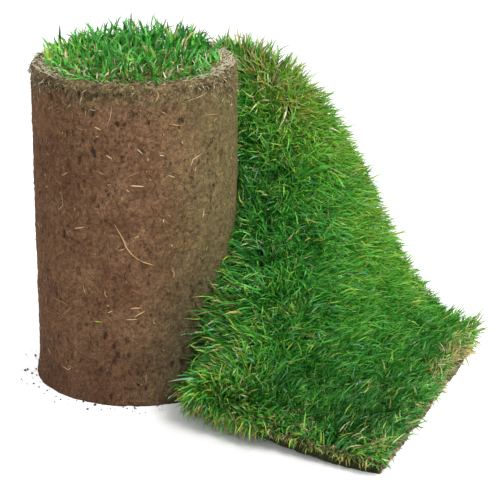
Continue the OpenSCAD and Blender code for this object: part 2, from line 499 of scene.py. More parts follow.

# %% [markdown]
# Seen close, the soil has grain: patches, grit, short dark flecks that stand upright, and
# a few pale grains. One noise would look like cloud, so several are multiplied over the
# browns, each at its own scale. A mark that the mesh carries paints shade into pits and
# cracks, under the rim's lip and on the tail's side cuts, and darkens dark spots in the
# thatch; the finest noises also roughen the surface.

# %% Soil grain
patches = ramp(tree, cloud(tree, place, 85, 3), (0.35, grey(0.76)), (0.65, grey(1.17)))
brown = blend(tree, "MULTIPLY", 0.8, brown, patches)
grit = cloud(tree, place, 230, 4, 0.7)
brown = blend(tree, "MULTIPLY", 0.9, brown, ramp(tree, grit, (0.30, grey(0.44)), (0.70, grey(1.58))))
flecks = cloud(tree, tall, 215, 3, 0.62, 0.9)
fleck_share = spread(tree, cloud(tree, place, 26, 2), 0.38, 0.62, 0.45, 1.0)
fleck_tones = ramp(tree, flecks, (0.35, grey(0.26)), (0.43, grey(0.97)), (0.62, grey(1.08)))
brown = blend(tree, "MULTIPLY", fleck_share, brown, fleck_tones)
grain = cloud(tree, place, 560, 4, 0.75)
grain_tones = ramp(tree, grain, (0.30, grey(0.36)), (0.52, grey(1.0)), (0.74, grey(1.62)))
brown = blend(tree, "MULTIPLY", 0.8, brown, grain_tones)
cells = add_node(tree, "ShaderNodeTexVoronoi", {"feature": "F1"}, Scale=330)
tree.links.new(place, cells.inputs["Vector"])
pale_grain = ramp(tree, cells.outputs["Color"], (0.92, grey(0)), (0.97, grey(0.55)))
brown = blend(tree, "MIX", pale_grain, brown, linear(164, 130, 100))
# Painted shade in pits, cracks, under the rim's lip and on the tail's side cuts, with dark spots in the
# thatch band
shade_and_spot_brown = blend(tree, "MULTIPLY", 1.0, brown, linear(118, 104, 96))
brown = blend(tree, "MIX", read_mark(tree, "hollow"), brown, shade_and_spot_brown)
# Dark green: pressed grass in the seam and the grass side of the tail, and painted shade on the tail's side
# cuts
brown = blend(tree, "MIX", read_mark(tree, "pressed"), brown, linear(50, 60, 26))
tree.links.new(brown, skin.inputs["Base Color"])
add_bump(tree, skin, maths(tree, "ADD", grain, flecks), strength=0.7, distance=0.0018)
print("soil colours and grain:", len(tree.nodes), "nodes")

# %% [markdown]
# The roll's wall is not a plain cylinder: the foot spreads under the weight of the soil, and
# a narrow lip overhangs under the top rim. Both could be pushed out by hand; as a formula
# for the radius at each height they also tell later where straws and blades have to lie.

# %% Wall of the roll
foot_h = 0.040
lip_drop, undercut_drop, lip_h = 0.004, 0.011, 0.004


def wall_radius(z):
    """Radius of the roll's wall: spread at the foot, with a narrow lip that overhangs under the rim."""
    foot = foot_spread * np.clip(1 - z / foot_h, 0, 1) ** 2
    lip = 0.0004 * np.exp(-(((z - strip_w + lip_drop) / lip_h) ** 2))
    undercut = 0.0008 * np.exp(-(((z - strip_w + undercut_drop) / lip_h) ** 2))
    return roll_r + foot + lip - undercut


some_heights = np.array([0.0, 0.2, strip_w - undercut_drop, strip_w])
print("radius at foot, middle, undercut and rim, mm:", np.round(wall_radius(some_heights) * 1000, 2))

# %% [markdown]
# The rolled turns stand as one drum of soil. Modelling the turns as a long rolled sheet
# would hide most of its faces, so the drum is a lathe: one profile carried round the axis.
# The profile goes down the bore, out along the base, up the wall from its spread foot and
# over the crumbled top rim, which is cut a little sharper here than on the solid.

# %% Rolled turns
bore_r, rim_r = 0.022, 0.006


def turned_points(profile, around):
    """A profile of radii and heights carried round the roll's axis."""
    angle = np.linspace(0, 2 * np.pi, around, endpoint=False)
    turned = np.empty((len(profile), around, 3))
    turned[..., 0] = profile[:, :1] * np.cos(angle)
    turned[..., 1] = profile[:, :1] * np.sin(angle)
    turned[..., 2] = profile[:, 1:]
    return turned.reshape(-1, 3)


wall_z = np.linspace(0, strip_w - rim_r, 182)
rim_angle = np.linspace(0, np.pi / 2, 7)[1:]
rim_z = strip_w - rim_r + rim_r * np.sin(rim_angle)
profile = [(bore_r, z) for z in np.linspace(strip_w, 0, 8)[:-1]]
profile += [(r, 0.0) for r in np.linspace(bore_r, roll_r + foot_spread, 48)[:-1]]
profile += list(zip(wall_radius(wall_z), wall_z))
profile += list(zip(wall_radius(rim_z) - rim_r + rim_r * np.cos(rim_angle), rim_z))
profile += [(r, strip_w) for r in np.linspace(roll_r - rim_r, bore_r, 9)[1:-1]]
profile = np.array(profile)
around = 372
points = turned_points(profile, around)
number = np.arange(len(points)).reshape(len(profile), around)
closed_grid = np.pad(number, ((0, 1), (0, 1)), mode="wrap")
mesh = mesh_from("soil_roll", points, skin_quads(closed_grid, False))
print("profile of", len(profile), "points, carried round in", around, "steps")

# %% [markdown]
# On the base the seam between the turns shows as a spiral, which starts under the place
# where the tail comes away and winds in to the innermost turn. It could be cut out as a
# groove; here the points near the spiral are pressed in, and the relief of the soil moves
# all the others. Marks tell the material where there is thatch and pressed grass, and where
# shade is painted: in pits and cracks, and in a band under the rim's lip. Dark spots in the
# thatch share the shade's mark.

# %% Seam and relief of the rolled turns
pressed_grass_t, seam_depth = 0.0065, 0.006
turn_pitch = sod_t + pressed_grass_t
thatch_depth, thatch_full = 0.038, 0.004
lip_shade_h = 0.0035
normals = point_normals(mesh)
height, hollow = soil_relief(points)
radius = np.hypot(points[:, 0], points[:, 1])
turn = np.degrees(np.arctan2(points[:, 1], points[:, 0]))
pressed = np.zeros(len(points))
seam_sweep = 360 * (roll_r - turn_pitch - bore_r - sod_t) / turn_pitch
for lap in range(4):
    sweep = (turn - peel_top) % 360 + 360 * lap
    seam_middle = roll_r - sod_t - pressed_grass_t / 2 - turn_pitch * sweep / 360
    inside = ease(pressed_grass_t * 0.62, pressed_grass_t * 0.30, np.abs(radius - seam_middle))
    pressed = np.maximum(pressed, np.where(sweep <= seam_sweep, inside, 0))
on_base = (points[:, 2] < 1e-6) & (radius < roll_r)
pressed *= on_base
standing = np.where(on_base, np.minimum(height, 0) * 0.5 - seam_depth * pressed, height)
move_points(mesh, points + normals * standing[:, None])
wander = noise_at(points, 30, 23) * 0.014 + noise_at(points, 95, 29) * 0.012
thatch = ease(strip_w - thatch_depth, strip_w - thatch_full, points[:, 2] + wander)
# Painted shadow: a dark band just under the rim's lip
painted_lip_shadow = np.exp(-(((points[:, 2] - strip_w + undercut_drop + 0.2 * wander) / lip_shade_h) ** 2))
painted_lip_shadow *= ease(-0.35, 0.25, noise_at(points, 52, 33))
clods = ease(0.05, 0.45, noise_at(points, 120, 39)) * thatch
mark(mesh, "hollow", np.clip(hollow + 0.75 * painted_lip_shadow + 0.6 * clods, 0, 1))
mark(mesh, "thatch", thatch * 0.85)
mark(mesh, "pressed", pressed)
roll = add_piece(mesh, "soil", loam)
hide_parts("sod")
print("seam turns on the base:", round(seam_sweep / 360, 2))

# %% [markdown]
# The loose tail is the same strip opened out: a sheet with soil on one side and grass on
# the other. A plane with a Solidify modifier would do for a smooth one; here it is the skin
# of a curved box, whose three directions are across the strip, along it and through its
# thickness, so that the cut edges are real walls with points of their own to fray.

# %% Loose tail
across_n, along_n, through_n = 132, 150, 7
k_grid, u_grid, w_grid = (np.linspace(0, 1, n) for n in (across_n, along_n, through_n))
on_skin = np.zeros((across_n, along_n, through_n), bool)
for side in (0, -1):
    on_skin[side] = True
    on_skin[:, side] = True
    on_skin[:, :, side] = True
ticket = np.full(on_skin.shape, -1)
ticket[on_skin] = np.arange(on_skin.sum())
i, j, through = np.nonzero(on_skin)
k, u, w = k_grid[i], u_grid[j], w_grid[through]
along, across, outward = strip_frame(k, u)
points = soil_face(k, u) + outward * (sod_t * w)[:, None]
soil_side = skin_quads(ticket[:, :, 0], False)
grass_side = skin_quads(ticket[:, :, -1], True)
walls = [skin_quads(ticket[0], True), skin_quads(ticket[-1], False)]
walls += [skin_quads(ticket[:, 0], False), skin_quads(ticket[:, -1], True)]
mesh = mesh_from("soil_tail", points, np.concatenate([soil_side, grass_side] + walls))
print("skin of the tail:", len(points), "points")

# %% [markdown]
# A cut through roots never stays straight, so the tail's edges are frayed. Notches could be
# cut one by one, but noise that moves the points near an edge in or out along the sheet does
# all the edges at once. The cut along the sides is painted dark as shade, the cut at the end
# is pale with dead stems, and marks tell the material which is which.

# %% Frayed edges of the tail
fray_width, cut_width = 0.008, 0.004
tail_length = 0.40
normals = point_normals(mesh)
height, hollow = soil_relief(points)
row_edge = np.minimum(k, 1 - k) * strip_w
end_gap = (1 - u) * tail_length
fray = noise_at(points, 40, 31) * 0.0030 + noise_at(points, 130, 37) * 0.0022
side_way = np.where(k < 0.5, -1, 1)[:, None] * across
moved = points + normals * (height * np.where(w > 0.99, 0.4, 1.0))[:, None]
moved += side_way * (fray * np.exp(-row_edge / fray_width))[:, None]
moved += along * (fray * np.exp(-end_gap / fray_width))[:, None]
move_points(mesh, moved)
end_share, row_share = np.exp(-end_gap / cut_width), np.exp(-row_edge / cut_width)
edge_share = np.maximum(end_share, row_share)
# Painted shade: the cut along the sides is darkened and turned dark green
mark(mesh, "hollow", np.clip(hollow + 0.8 * row_share * (1 - end_share), 0, 1))
mark(mesh, "thatch", np.clip(ease(0.45, 1.0, w) * row_share + 0.75 * end_share, 0, 0.9))
painted_cut_shade = 0.60 * row_share * (1 - end_share)
mark(mesh, "pressed", np.clip(ease(0.7, 1.0, w) * (1 - edge_share) + painted_cut_shade, 0, 1))
tail = add_piece(mesh, "soil", loam)
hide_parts("sod")
print("tail lies from", np.round(moved.min(0), 3), "to", np.round(moved.max(0), 3))

# %% [markdown]
# Grass blades, straws and root hairs are all strands: a middle line with a width. Each
# kind could be a hair system, but those vanish on export, so every strand here is a small
# strip or tube of faces and thousands of them are joined in one mesh. The UV map of a
# strand doubles as a colour chart: across it runs the strand's own tone, and up it runs
# the way from root to tip, so one material can colour them all.

# %% Strand maker
def strands(name, lines, half_widths, tones, facing, sides=2):
    """Joined strips (two sides) or tubes (more) along lines of points, narrowing to a tip."""
    count, steps = lines.shape[:2]
    way = np.gradient(lines, axis=1)
    flat_way = unit(np.cross(way, facing[:, None, :]))
    deep_way = unit(np.cross(flat_way, way))
    turns = np.arange(sides) * 2 * np.pi / sides
    ring = [flat_way * math.cos(t) + deep_way * math.sin(t) for t in turns]
    rings = np.stack([lines[:, :-1] + r[:, :-1] * half_widths[:, :-1, None] for r in ring], 2)
    body = rings.reshape(count, -1, 3)
    points = np.concatenate([body, lines[:, -1:]], 1)
    each = points.shape[1]
    spot = np.arange((steps - 1) * sides).reshape(steps - 1, sides)
    edges = [(0, 1)] if sides == 2 else [(s, (s + 1) % sides) for s in range(sides)]
    quads = [np.stack([spot[:-1, a], spot[:-1, b], spot[1:, b], spot[1:, a]], -1) for a, b in edges]
    tips = np.array([(spot[-1, a], spot[-1, b], each - 1) for a, b in edges])
    base = (np.arange(count) * each)[:, None, None]
    all_quads, all_tips = (np.concatenate(quads) + base).reshape(-1, 4), (tips + base).reshape(-1, 3)
    mesh = mesh_from(name, points.reshape(-1, 3), all_quads, all_tips)
    climb = np.append(np.repeat(np.linspace(0, 1, steps)[:-1], sides), 1.0)
    offset = np.append(np.tile(np.linspace(-0.003, 0.003, sides), steps - 1), 0.0)
    chart = np.stack([tones[:, None] + offset, np.broadcast_to(climb, (count, each))], -1).reshape(-1, 2)
    corner = np.empty(len(mesh.loops), np.int32)
    mesh.loops.foreach_get("vertex_index", corner)
    for layer in ("strand_chart", "OFBake"):
        mesh.uv_layers.new(name=layer).data.foreach_set("uv", chart[corner].astype(np.float32).ravel())
    return mesh


print("helper for strands:", strands.__name__)

# %% [markdown]
# A blade grows out of the mat one way and bends over into another, and it is broad low down
# and pointed at its tip. Curves with handles could be drawn for each; a start direction, an
# end direction, a length and a width say the same for thousands of them at once.

# %% Lines and widths of blades
def grown_lines(roots, starts, ends, lengths, steps=5):
    """Middle lines that leave each root along one direction and bend over into another."""
    share = (np.arange(steps - 1) + 0.5) / (steps - 1)
    way = unit(starts[:, None] * (1 - share[:, None]) + ends[:, None] * share[:, None])
    hops = way * (lengths / (steps - 1))[:, None, None]
    return np.concatenate([roots[:, None], roots[:, None] + np.cumsum(hops, 1)], 1)


def blade_widths(widths, steps=5):
    """Half widths along each blade: narrow at the sheath, broad soon after, pointed at the tip."""
    share = np.linspace(0, 1, steps)
    return widths[:, None] * 0.5 * (0.62 + 0.38 * np.minimum(1, share * 3.2)) * (1 - share**2.6)


def any_way(dice, count):
    return unit(dice.normal(size=(count, 3)))


def column(values):
    return np.asarray(values)[:, None]


print("half widths of a blade 2 mm wide:", np.round(blade_widths(np.array([2.0]))[0], 2), "mm")

# %% [markdown]
# The blades' finish. The tone chart starts with two bluish tones, a painted highlight for a
# few blades, runs from deep green through fresh to yellowish green, and ends with brown,
# golden and bleached straw. A blade is paler at its sheath and a touch yellow at its tip,
# and has a low sheen. Each tone could be a material of its own, but one chart lets every
# blade differ.

# %% Grass material
def strand_material(name, tones, sheath, sheath_share, tip, roughness):
    """A finish read off the strand's chart, with one colour at the root and one at the tip."""
    material, tree, skin = new_finish(name, roughness, gloss=0.4)
    chart = add_node(tree, "ShaderNodeUVMap", {"uv_map": "strand_chart"})
    axes = add_node(tree, "ShaderNodeSeparateXYZ")
    tree.links.new(chart.outputs["UV"], axes.inputs[0])
    colour = ramp(tree, axes.outputs["X"], *tones)
    colour = blend(tree, "MIX", spread(tree, axes.outputs["Y"], 0.0, sheath_share, 0.7, 0.0), colour, sheath)
    colour = blend(tree, "MIX", spread(tree, axes.outputs["Y"], 0.80, 1.0, 0.0, 0.35), colour, tip)
    tree.links.new(colour, skin.inputs["Base Color"])
    print(name, len(tones), "tones")
    return material


green_tones = (
    # The bluish tones below 0.10 are painted highlights
    (0.00, linear(134, 190, 150)),
    (0.07, linear(92, 160, 104)),
    (0.10, linear(26, 88, 30)),
    (0.28, linear(46, 124, 40)),
    (0.46, linear(66, 162, 56)),
    (0.62, linear(98, 194, 70)),
    (0.76, linear(172, 198, 76)),
    (0.82, linear(146, 122, 58)),
    (0.90, linear(196, 176, 92)),
    (1.00, linear(236, 232, 208)),
)
sheath, tip = linear(116, 138, 70), linear(136, 176, 72)
blade_green = strand_material("grass_blade", green_tones, sheath, 0.25, tip, 0.38)

# %% [markdown]
# Dead stems come in two kinds. Roots and straws in the soil are warm and brown to nearly
# white, and the felt of thatch is greyer, like old hay. One plain colour each would do from
# afar, but stems differ from one to the next, so they take the same chart as the grass,
# with tones of their own and less sheen.

# %% Straw materials
straw_tones = (
    (0.00, linear(92, 62, 42)),
    (0.30, linear(140, 98, 62)),
    (0.60, linear(184, 148, 102)),
    (0.85, linear(212, 190, 146)),
    (1.00, linear(214, 212, 204)),
)
straw = strand_material("root_and_straw", straw_tones, linear(150, 118, 80), 0.15, linear(168, 134, 94), 0.55)
felt_tones = (
    (0.00, linear(72, 60, 38)),
    (0.35, linear(112, 98, 64)),
    (0.65, linear(152, 138, 96)),
    (0.85, linear(196, 184, 142)),
    (1.00, linear(224, 218, 192)),
)
felt = strand_material("thatch_felt", felt_tones, linear(96, 84, 54), 0.20, linear(150, 138, 98), 0.60)

# %% [markdown]
# The top end is a low mound of grass inside the soil rim. Blades alone would have to be
# very many to hide what is under them, so a matted floor comes first: a domed disc, turned
# like the roll and rough with dead stems.

# %% Matted floor of the top end
mat_r = roll_r - sod_t + 0.004
mat_z = strip_w - 0.002
mound = 0.009
ring_share = np.linspace(0, 1, 40) ** 0.85
around = 160
profile = np.stack([ring_share * mat_r, mat_z + mound * (1 - ring_share**4)], -1)
points = turned_points(profile, around)
points[:, 2] += 0.0022 * noise_at(points, 60, 41) + 0.0016 * noise_at(points, 170, 43)
number = np.arange(len(points)).reshape(len(profile), around)
open_grid = np.pad(number, ((0, 0), (0, 1)), mode="wrap")
mat_mesh = mesh_from("grass_mat_top", points, skin_quads(open_grid, True))
matted, tree, skin = new_finish("matted_stems", roughness=0.9, gloss=0.2)
place = add_node(tree, "ShaderNodeTexCoord").outputs["Object"]
olives = (0.30, linear(50, 52, 24)), (0.50, linear(98, 94, 50)), (0.70, linear(150, 138, 86))
tree.links.new(ramp(tree, cloud(tree, place, 120, 6, 0.7), *olives), skin.inputs["Base Color"])
add_bump(tree, skin, cloud(tree, place, 420, 4, 0.7), strength=0.8, distance=0.002)
mat_top = add_piece(mat_mesh, "grass", matted)
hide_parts("grass")

# %% [markdown]
# Blades of the top end. Most lie low and matted, and the mat shows between them; others
# stand, and those at the middle of the back are the longest, while the left and front ones
# are trodden short and yellower. At the right they lean inward and leave the rim bare.
# Copies of a few modelled tufts would repeat in so small a place, so each blade is grown
# on its own, with a lean, a length and a tone that follow from where its root is.

# %% Blades of the top end
dice = np.random.default_rng(11)
lowest_tip, highest_tip = strip_w + 0.001, strip_w + 0.036


def crown_roots(count):
    """Places spread evenly over the top end, with the way outward from the axis."""
    radius = (roll_r - sod_t - 0.002) * np.sqrt(dice.uniform(0, 1, count))
    angle = dice.uniform(0, 2 * np.pi, count)
    outward = np.stack([np.cos(angle), np.sin(angle), np.zeros(count)], -1)
    z = mat_z + mound * 0.8 * (1 - (radius / mat_r) ** 4)
    return outward * column(radius) + up * column(z), outward, radius / mat_r


def crown_blades(count, upright, low, high):
    """Middle lines, tones and widths of one kind of blade on the top end."""
    roots, outward, rim_share = crown_roots(count)
    back = ease(-0.09, 0.08, roots[:, 1])
    bare_right = ease(0.070, 0.096, roots[:, 0])
    over = (0.35 + 0.5 * (1 - back)) * rim_share**3 * (1 - 2.4 * bare_right)
    starts = up * upright + outward * column(over) + 0.45 * dice.normal(size=(count, 3))
    ends = up * column(dice.uniform(0, upright, count)) + outward * column(over)
    ends += 0.6 * dice.normal(size=(count, 3))
    ends[:, 2] = np.maximum(ends[:, 2], -0.1)
    middle = np.exp(-(((roots[:, 0] - 0.010) / 0.080) ** 2))
    left = ease(-0.045, -0.095, roots[:, 0])
    taller = 0.58 + 0.22 * back + 0.32 * back * middle
    lengths = dice.uniform(low, high, count) * taller * (1 - 0.25 * left - 0.40 * bare_right)
    lines = grown_lines(roots, unit(starts), unit(ends), lengths)
    lines[..., 2] = np.clip(lines[..., 2], lowest_tip, highest_tip)
    tones = dice.normal(0.34, 0.14, count) + 0.12 * noise_at(roots, 35, 47)
    tones = np.clip(tones + 0.16 * left + 0.10 * (1 - back) + 0.08 * back, 0.11, 0.76)
    dry = dice.uniform(0, 1, count) < 0.04 + 0.06 * (1 - back)
    tones = np.where(dry, dice.uniform(0.88, 0.97, count), tones)
    return lines, tones, dice.uniform(0.0017, 0.0032, count) * (1.15 + 0.25 * back)


kinds = [crown_blades(900, 0.28, 0.020, 0.040), crown_blades(680, 1.3, 0.021, 0.039)]
print("blades of the top end, low and standing:", [len(kind[0]) for kind in kinds])

# %% [markdown]
# Two smaller kinds break the pattern: blades at the front lean out over the soil rim, and
# short pale stems glint between the others in the front half, their near-white tone partly a
# painted highlight. They could be picked from the blades above, but each needs a lean of its
# own, so each has its own function.

# %% Rim blades and pale stems
def rim_blades(count):
    """Blades that lean out over the front of the soil rim."""
    angle = np.radians(dice.uniform(-140, -30, count))
    outward = np.stack([np.cos(angle), np.sin(angle), np.zeros(count)], -1)
    roots = outward * column(dice.uniform(0.099, 0.111, count)) + up * strip_w
    starts = unit(up * 0.5 + outward * 0.8 + 0.5 * dice.normal(size=(count, 3)))
    ends = unit(outward * 0.9 - up * 0.1 + 0.6 * dice.normal(size=(count, 3)))
    lines = grown_lines(roots, starts, ends, dice.uniform(0.010, 0.022, count))
    lines[..., 2] = np.maximum(lines[..., 2], lowest_tip)
    return lines, np.clip(dice.normal(0.46, 0.15, count), 0.11, 0.76), dice.uniform(0.0014, 0.0026, count)


def pale_stems_and_glints(count):
    """Short pale stems with a painted glint, kept only where they grow in the front half."""
    roots = crown_roots(count)[0]
    roots = roots[roots[:, 1] < 0.02]
    count = len(roots)
    starts = unit(up * 0.9 + 0.5 * dice.normal(size=(count, 3)))
    ends = unit(up * 0.4 + 0.6 * dice.normal(size=(count, 3)))
    lines = grown_lines(roots, starts, ends, dice.uniform(0.008, 0.016, count))
    # Near-white tones: pale stems, partly a painted highlight
    return lines, dice.uniform(0.96, 0.995, count), dice.uniform(0.0010, 0.0019, count)


kinds += [rim_blades(150), pale_stems_and_glints(420)]
print("rim blades and pale stems:", [len(kind[0]) for kind in kinds[2:]])

# %% [markdown]
# A few long blades stand apart at the left and right of the top end and show against the
# light, so chance can't place them: each has a row in a table. All the kinds are then joined
# in one piece, and the lone blades are turned to show their flat side to the front.

# %% Lone blades of the top end
# Place on the top end in millimetres, direction, length in millimetres and tone
lone_blades = [
    ((-94, 50), (0.03, 0, 1.0), 34, 0.12),
    ((-99, 36), (-0.6, 0, 0.8), 27, 0.58),
    ((-101, 28), (-1.0, -0.1, 0.10), 22, 0.30),
    ((86, 52), (1.0, 0, 0.12), 30, 0.34),
    ((92, 44), (0.75, 0.1, 0.70), 30, 0.40),
    ((60, 80), (0.5, 0, 0.85), 30, 0.16),
]
lone_width = 0.0036
for (x, y), way, length, tone in lone_blades:
    lone_root = np.array([[x / 1000, y / 1000, strip_w]])
    way = unit(np.array([way]))
    lone_line = grown_lines(lone_root, way, way, np.array([length / 1000]))
    kinds.append((lone_line, np.array([tone]), np.array([lone_width])))
lines, tones, widths = (np.concatenate(parts) for parts in zip(*kinds))
facing = any_way(dice, len(lines))
facing[-len(lone_blades):] = (0, -1, 0.3)
blades_top = add_piece(strands("grass_top", lines, blade_widths(widths), tones, facing), "grass", blade_green)
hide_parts("grass")

# %% [markdown]
# The tail carries tens of thousands of blades. Their roots are scattered evenly over the
# grass side: by area, because rows and columns of the sheet crowd together at the fold.
# A place is written as two shares, k across the strip from its bottom edge to its top edge
# and s along it from the roll to the cut end, and places that matter get names.

# %% Roots and places on the tail
def tail_roots(dice, count, low_s, high_s):
    """Places spread evenly over one stretch of the tail's grass side: shares k, u and s."""
    parts, step = 60, 0.004
    middles = (np.arange(parts) + 0.5) / parts
    k_all, s_all = (g.ravel() for g in np.meshgrid(middles, mix(low_s, high_s, middles), indexing="ij"))
    start = clear_start(k_all)
    u_all = mix(start, 1, s_all)
    wide = grass_face(np.clip(k_all + step, 0, 1), u_all) - grass_face(np.clip(k_all - step, 0, 1), u_all)
    long = grass_face(k_all, np.clip(u_all + step, 0, 1)) - grass_face(k_all, np.clip(u_all - step, 0, 1))
    area = np.linalg.norm(np.cross(wide, long), axis=-1) * (1 - start)
    pick = dice.choice(len(area), count, p=area / area.sum())
    k = np.clip(k_all[pick] + dice.uniform(-0.5, 0.5, count) / parts, 0, 1)
    s = np.clip(s_all[pick] + dice.uniform(-0.5, 0.5, count) * (high_s - low_s) / parts, 0, 1)
    return k, mix(clear_start(k), 1, s), s


def named_places(k, s):
    """How far each blade belongs to the named places of the tail, from nought to one."""
    at = SimpleNamespace()
    at.fold, at.slope, at.cut_end = ease(0.24, 0.0, s), ease(0.08, 0.40, s), ease(0.90, 1.0, s)
    at.low_edge, at.high_edge = ease(0.08, 0.0, k), ease(0.90, 1.0, k)
    at.bare_edge = ease(0.42, 0.62, s)
    at.hanging = at.low_edge * (1 - 0.8 * at.bare_edge)
    at.top_tuft = at.high_edge * ease(0.05, 0.14, s) * ease(0.30, 0.16, s)
    at.corner = at.high_edge * ease(0.72, 0.88, s)
    at.low_fold = ease(0.42, 0.06, s) * ease(0.66, 0.34, k)
    at.foot = ease(0.20, 0.05, s) * ease(0.30, 0.12, k)
    at.front = ease(0.50, 0.10, k) * ease(0.30, 0.60, s)
    at.crest = ease(0.62, 0.90, k) * ease(0.44, 0.20, s)
    return at


middle_place = vars(named_places(0.5, 0.5)).items()
print("middle of the tail:", {name: round(float(share), 2) for name, share in middle_place if share > 0})

# %% [markdown]
# Each blade leans by where it grows, as if combed: to the left over the roll at the fold,
# to the right down the slope, and up along the top edge, but level to the right halfway
# along it. At the bottom edge it leans forward near the roll, and from halfway on it stays
# back, so that the dark cut is bare. Combing particle hair by hand would do this too, but
# would not survive a change of the tail's shape. Noise makes tufts that share a lean.

# %% Lean of the blades
comb_right = np.array([1.0, -0.15, 0.05])
comb_left = np.array([-1.0, -0.10, -0.02])
comb_front = np.array([0.05, -1.0, -0.45])
comb_up = np.array([0.55, 0.15, 0.80])
comb_level = np.array([1.10, 0.0, 0.22])


def blade_leans(dice, at, k, s, roots, strip):
    """Unit directions in which each blade leaves its root and in which its tip points."""
    along, across, out = strip
    count = len(k)
    tuft = np.stack([noise_at(roots, 48, 71 + 6 * axis) for axis in range(3)], -1)
    raised = at.high_edge * (0.34 + 0.46 * ease(0.50, 0.15, s)) + 0.25 * at.top_tuft - 0.20 * at.corner
    level = ease(0.16, 0.32, s) * ease(0.70, 0.56, s)
    comb = comb_right * column(0.62 * at.slope * (1 - 0.6 * at.cut_end) * (1 - at.low_fold))
    comb += comb_left * column(1.1 * at.low_fold * ease(0.0, 0.12, k))
    comb -= along * column(0.70 * at.fold * (1 - at.low_fold))
    comb += comb_front * column(1.2 * at.hanging) + mix(comb_up, comb_level, column(level)) * column(raised)
    comb += tuft
    comb += across * column(0.15 * at.low_edge * at.bare_edge)
    comb += (0.4 * along - 0.4 * up) * column(at.cut_end * ease(0.65, 0.80, k) * (1 - 0.8 * at.high_edge))
    comb += up * column(0.55 * at.corner)
    starts = out + 0.5 * comb + 0.42 * dice.normal(size=(count, 3))
    ends = out * column(dice.uniform(0.05, 0.70, count)) + 1.1 * comb + 0.55 * dice.normal(size=(count, 3))
    ends[:, 2] -= 0.12
    over_edge = np.maximum(np.maximum(at.low_edge * (1 - 0.7 * at.bare_edge), at.cut_end), at.high_edge)
    inward = np.sum(ends * out, -1)
    ends += out * column(np.maximum(0, 0.06 - inward) * (1 - over_edge))
    return unit(starts), unit(ends)


print("combs:", comb_right, comb_left, comb_front, comb_up, comb_level)

# %% [markdown]
# Lengths differ by place too: short by the roll's foot, where a few long strays reach out,
# longer beside the roll's wall, and short along the cut edges. A blade that would pass
# through the roll or the floor is laid along it: testing each blade against the meshes
# would be slower than asking the roll's own radius.

# %% Length of the blades
farthest_right, farthest_front, lowest_line = 0.455, -0.350, 0.0008


def blade_lengths(dice, at, k, s):
    """Length of each blade in metres."""
    count = len(k)
    longer = 1 + 0.12 * at.hanging + 0.15 * at.low_fold + 0.30 * at.top_tuft + 0.25 * at.corner
    longer -= 0.20 * at.cut_end * (1 - at.high_edge) + 0.06 * at.high_edge + 0.22 * at.low_edge * at.bare_edge
    longer -= 0.12 * at.high_edge * ease(0.30, 0.40, s) * ease(0.70, 0.60, s)
    by_wall = 0.28 * ease(0.14, 0.26, k) * ease(0.70, 0.50, k) - 0.32 * ease(0.24, 0.12, k)
    longer += ease(0.16, 0.03, s) * by_wall
    longer -= 0.40 * at.foot
    stray = np.where(dice.uniform(0, 1, count) < 0.04, 1.3 + 0.9 * at.foot, 1.0)
    return dice.uniform(0.022, 0.040, count) * longer * stray


def kept_clear(lines, room=0.0018):
    """Moves points that went into the roll or the floor out to their surfaces."""
    radius = np.hypot(lines[..., 0], lines[..., 1])
    least = wall_radius(lines[..., 2]) + room
    into = (radius < least) & (lines[..., 2] < strip_w)
    grow = np.where(into, least / np.maximum(radius, 1e-6), 1.0)
    lines[..., 0] *= grow
    lines[..., 1] *= grow
    lines[..., 0] = np.minimum(lines[..., 0], farthest_right)
    lines[..., 1] = np.maximum(lines[..., 1], farthest_front)
    lines[..., 2] = np.clip(lines[..., 2], lowest_line, highest_tip)
    return lines


inside_roll = np.array([[[0.100, 0.0, 0.2]]])
print("a point in the roll moves out to x", round(float(kept_clear(inside_roll)[0, 0, 0]), 4))

# %% [markdown]
# Tones vary in patches. Some paint light and shade: the slope, the top edge, the crest, the
# gold tuft and the bare part of the bottom edge are given painted light, and the strip
# beside the roll, the lower middle and the end are painted darker as shade. The crest and
# the worn strip beside the roll are yellower. Gold and tan tufts sit at the top, bleached
# ones at the end and on the bottom edge, and a few blades carry a painted bluish highlight.
# Painted masks could place these, but the same two shares that comb the blades can colour
# them as well.

# %% Tones of the blades
def around_place(k, s, k_middle, s_middle, k_size, s_size):
    """One at a place on the strip, falling to nought around it."""
    return np.exp(-(((k - k_middle) / k_size) ** 2) - ((s - s_middle) / s_size) ** 2)


